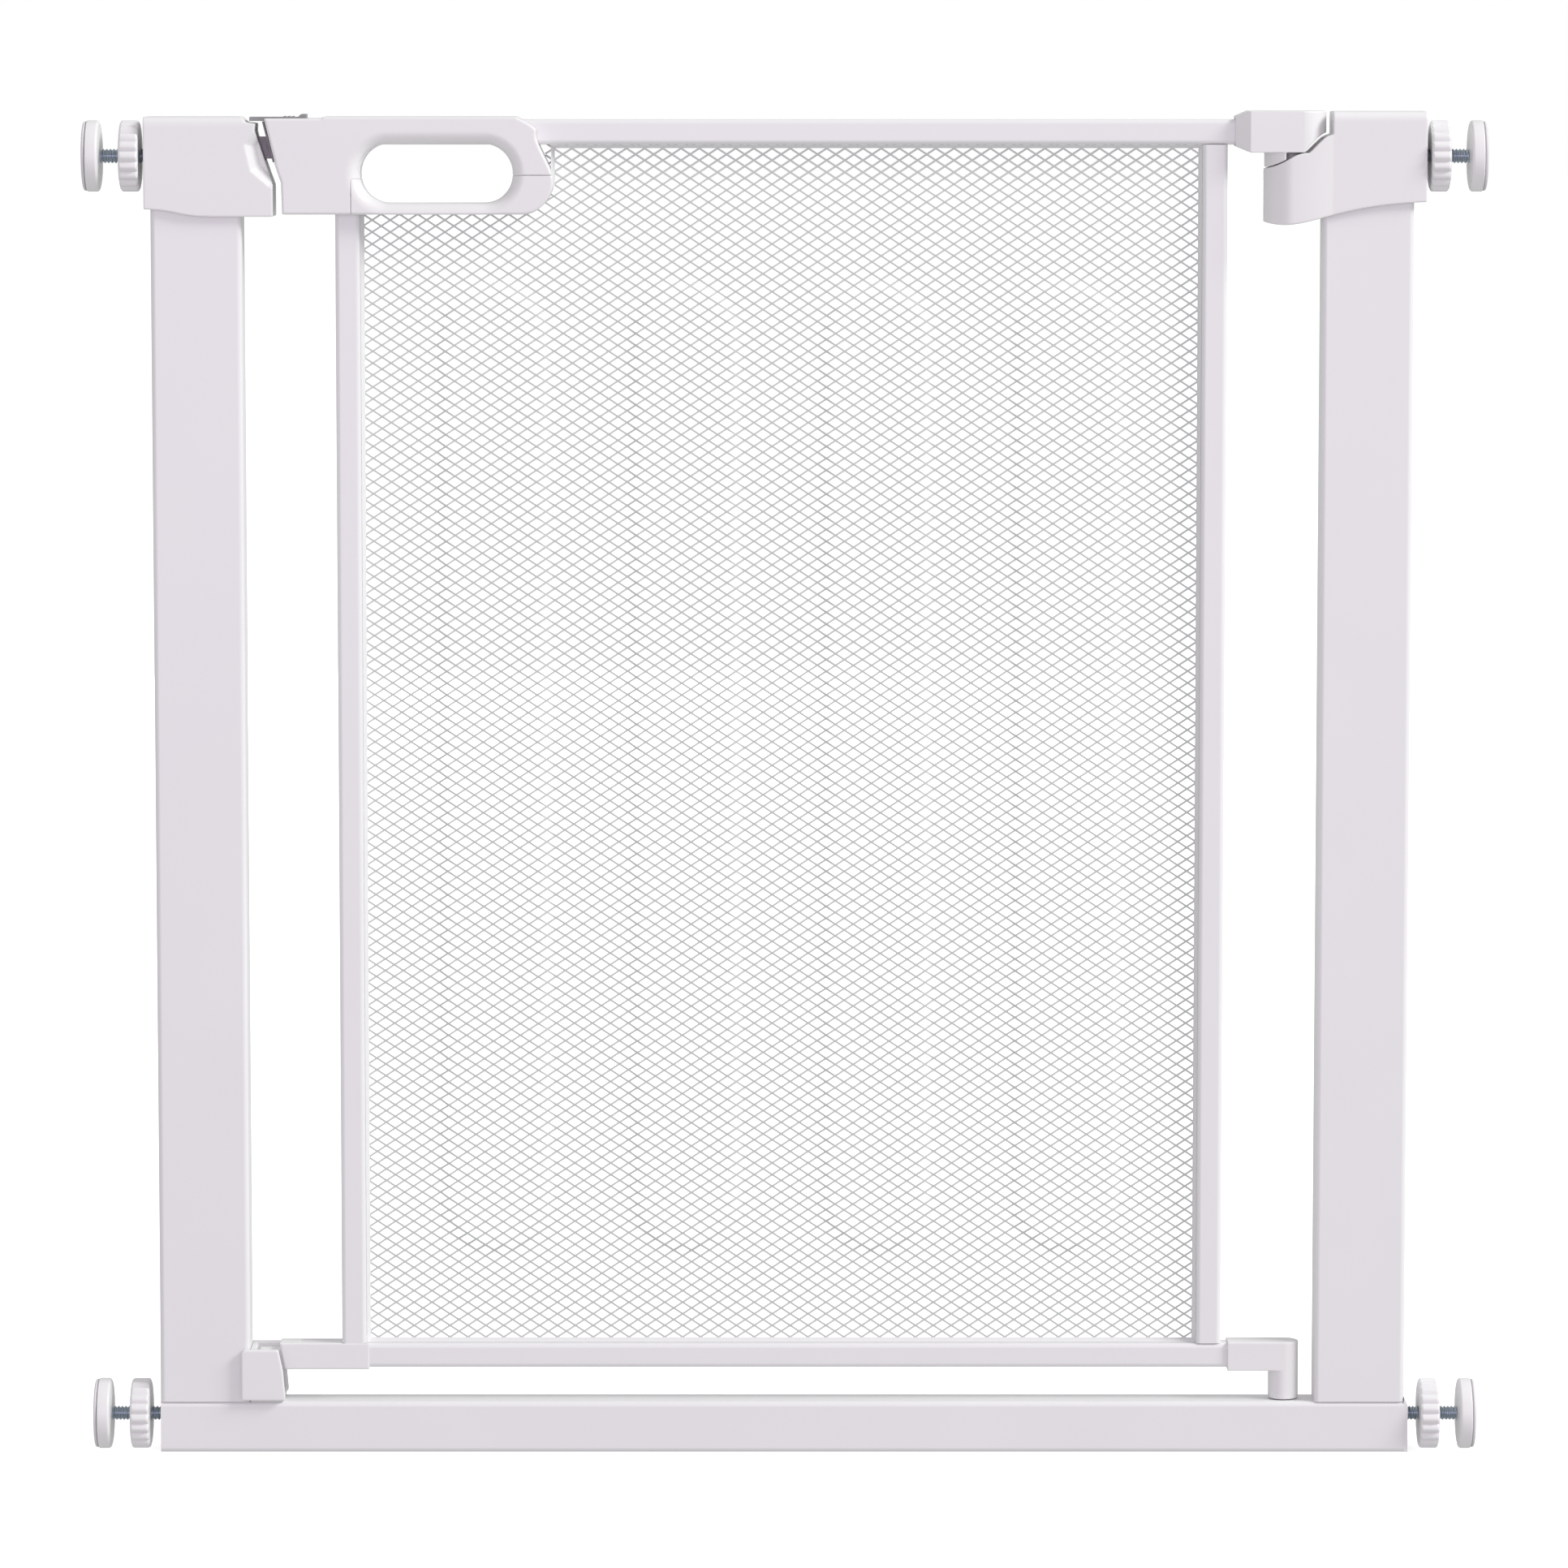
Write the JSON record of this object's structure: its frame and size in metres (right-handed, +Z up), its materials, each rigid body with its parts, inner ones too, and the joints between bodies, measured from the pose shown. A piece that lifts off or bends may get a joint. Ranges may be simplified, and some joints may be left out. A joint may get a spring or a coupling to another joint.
{
  "type": "safety baby gate",
  "caption": "Pressure-fitted metal baby gate: a U-frame with screw spindles and wall cups holds a mesh door that lifts, swings on a rising hinge and latches with a thumb slide.",
  "frame": {"origin": "middle of the threshold bar's underside, on the floor", "axes": "+X right along the gate towards the hinge side, +Y to the back, +Z up"},
  "size_m": [0.7871, 0.04, 0.762],
  "materials": {
    "white_metal": "white powder coat, satin",
    "white_plastic": "white moulded plastic, satin",
    "grey_plastic": "grey moulded plastic",
    "dark_steel": "darkened steel",
    "zinc_steel": "zinc-plated steel",
    "spring_steel": "bright spring wire",
    "bush_plastic": "natural nylon",
    "pad_rubber": "pale non-marking rubber"
  },
  "bodies": {
    "frame": {"left_post": "white_metal", "right_post": "white_metal", "post_foot_inserts": "bush_plastic", "post_bolts": "zinc_steel", "bottom_bar": "white_metal", "bar_plug_left": "white_plastic", "bar_plug_right": "white_plastic", "latch_housing": "white_plastic", "hinge_housing": "white_plastic", "upper_hinge_bush": "bush_plastic", "bottom_catch": "white_plastic", "catch_screws": "zinc_steel", "lower_hinge_bush": "bush_plastic", "housing_screws": "zinc_steel", "rod_guides": "bush_plastic"},
    "lower_pin": {"lower_hinge_pin": "zinc_steel"},
    "upper_pin": {"upper_hinge_pin": "zinc_steel"},
    "door": {"door_top_rail": "white_metal", "door_bottom_rail": "white_metal", "latch_stile": "white_metal", "hinge_stile": "white_metal", "mesh_panel": "white_metal", "handle_front": "white_plastic", "handle_back": "white_plastic", "grip_front": "white_plastic", "grip_back": "white_plastic", "handle_screws": "zinc_steel", "latch_face_plate": "dark_steel", "return_spring": "spring_steel", "top_hinge_block": "white_plastic", "bottom_hinge_elbow": "white_plastic", "hinge_arm_screws": "zinc_steel", "closing_foot": "white_plastic", "foot_screw": "zinc_steel"},
    "latch": {"thumb_slide": "grey_plastic", "latch_bolt": "dark_steel"},
    "knob_upper_left": {"knob_upper_left": "white_plastic"},
    "spindle_upper_left": {"spindle_upper_left": "zinc_steel", "cup_upper_left": "white_plastic", "pad_upper_left": "pad_rubber"},
    "knob_upper_right": {"knob_upper_right": "white_plastic"},
    "spindle_upper_right": {"spindle_upper_right": "zinc_steel", "cup_upper_right": "white_plastic", "pad_upper_right": "pad_rubber"},
    "knob_lower_left": {"knob_lower_left": "white_plastic"},
    "spindle_lower_left": {"spindle_lower_left": "zinc_steel", "cup_lower_left": "white_plastic", "pad_lower_left": "pad_rubber"},
    "knob_lower_right": {"knob_lower_right": "white_plastic"},
    "spindle_lower_right": {"spindle_lower_right": "zinc_steel", "cup_lower_right": "white_plastic", "pad_lower_right": "pad_rubber"}
  },
  "joints": [
    {"name": "door_lift", "type": "slide", "parent": "frame", "child": "lower_pin", "axis": [0, 0, 1], "range_m": [0, 0.014]},
    {"name": "cam_rise", "type": "slide", "parent": "lower_pin", "child": "upper_pin", "axis": [0, 0, 1], "range_m": [0, 0.0121]},
    {"name": "door_swing", "type": "hinge", "parent": "upper_pin", "child": "door", "pos_m": [0.286, 0, 0], "axis": [0, 0, 1], "range_deg": [0, 90]},
    {"name": "latch_slide", "type": "slide", "parent": "door", "child": "latch", "axis": [1, 0, 0], "range_m": [0, 0.008], "stiffness_N_per_m": 250, "springref_m": -0.012, "deforming": ["return_spring"]},
    {"name": "spindle_travel_upper_left", "type": "slide", "parent": "frame", "child": "spindle_upper_left", "axis": [-1, 0, 0], "range_m": [-0.01, 0.028]},
    {"name": "knob_spin_upper_left", "type": "hinge", "parent": "frame", "child": "knob_upper_left", "pos_m": [-0.366, 0, 0.7367], "axis": [1, 0, 0], "range_deg": [-1812, 5052]},
    {"name": "spindle_travel_upper_right", "type": "slide", "parent": "frame", "child": "spindle_upper_right", "axis": [1, 0, 0], "range_m": [-0.01, 0.028]},
    {"name": "knob_spin_upper_right", "type": "hinge", "parent": "frame", "child": "knob_upper_right", "pos_m": [0.366, 0, 0.7367], "axis": [-1, 0, 0], "range_deg": [-1812, 5052]},
    {"name": "spindle_travel_lower_left", "type": "slide", "parent": "frame", "child": "spindle_lower_left", "axis": [-1, 0, 0], "range_m": [-0.01, 0.028]},
    {"name": "knob_spin_lower_left", "type": "hinge", "parent": "frame", "child": "knob_lower_left", "pos_m": [-0.366, 0, 0.0205], "axis": [1, 0, 0], "range_deg": [-1812, 5052]},
    {"name": "spindle_travel_lower_right", "type": "slide", "parent": "frame", "child": "spindle_lower_right", "axis": [1, 0, 0], "range_m": [-0.01, 0.028]},
    {"name": "knob_spin_lower_right", "type": "hinge", "parent": "frame", "child": "knob_lower_right", "pos_m": [0.366, 0, 0.0205], "axis": [-1, 0, 0], "range_deg": [-1812, 5052]}
  ],
  "couplings": [
    {"joint": "cam_rise", "follows": "door_swing", "m_per_rad": 0.0076394},
    {"joint": "knob_spin_upper_left", "follows": "spindle_travel_upper_left", "rad_per_m": 3141.6},
    {"joint": "knob_spin_upper_right", "follows": "spindle_travel_upper_right", "rad_per_m": 3141.6},
    {"joint": "knob_spin_lower_left", "follows": "spindle_travel_lower_left", "rad_per_m": 3141.6},
    {"joint": "knob_spin_lower_right", "follows": "spindle_travel_lower_right", "rad_per_m": 3141.6}
  ]
}
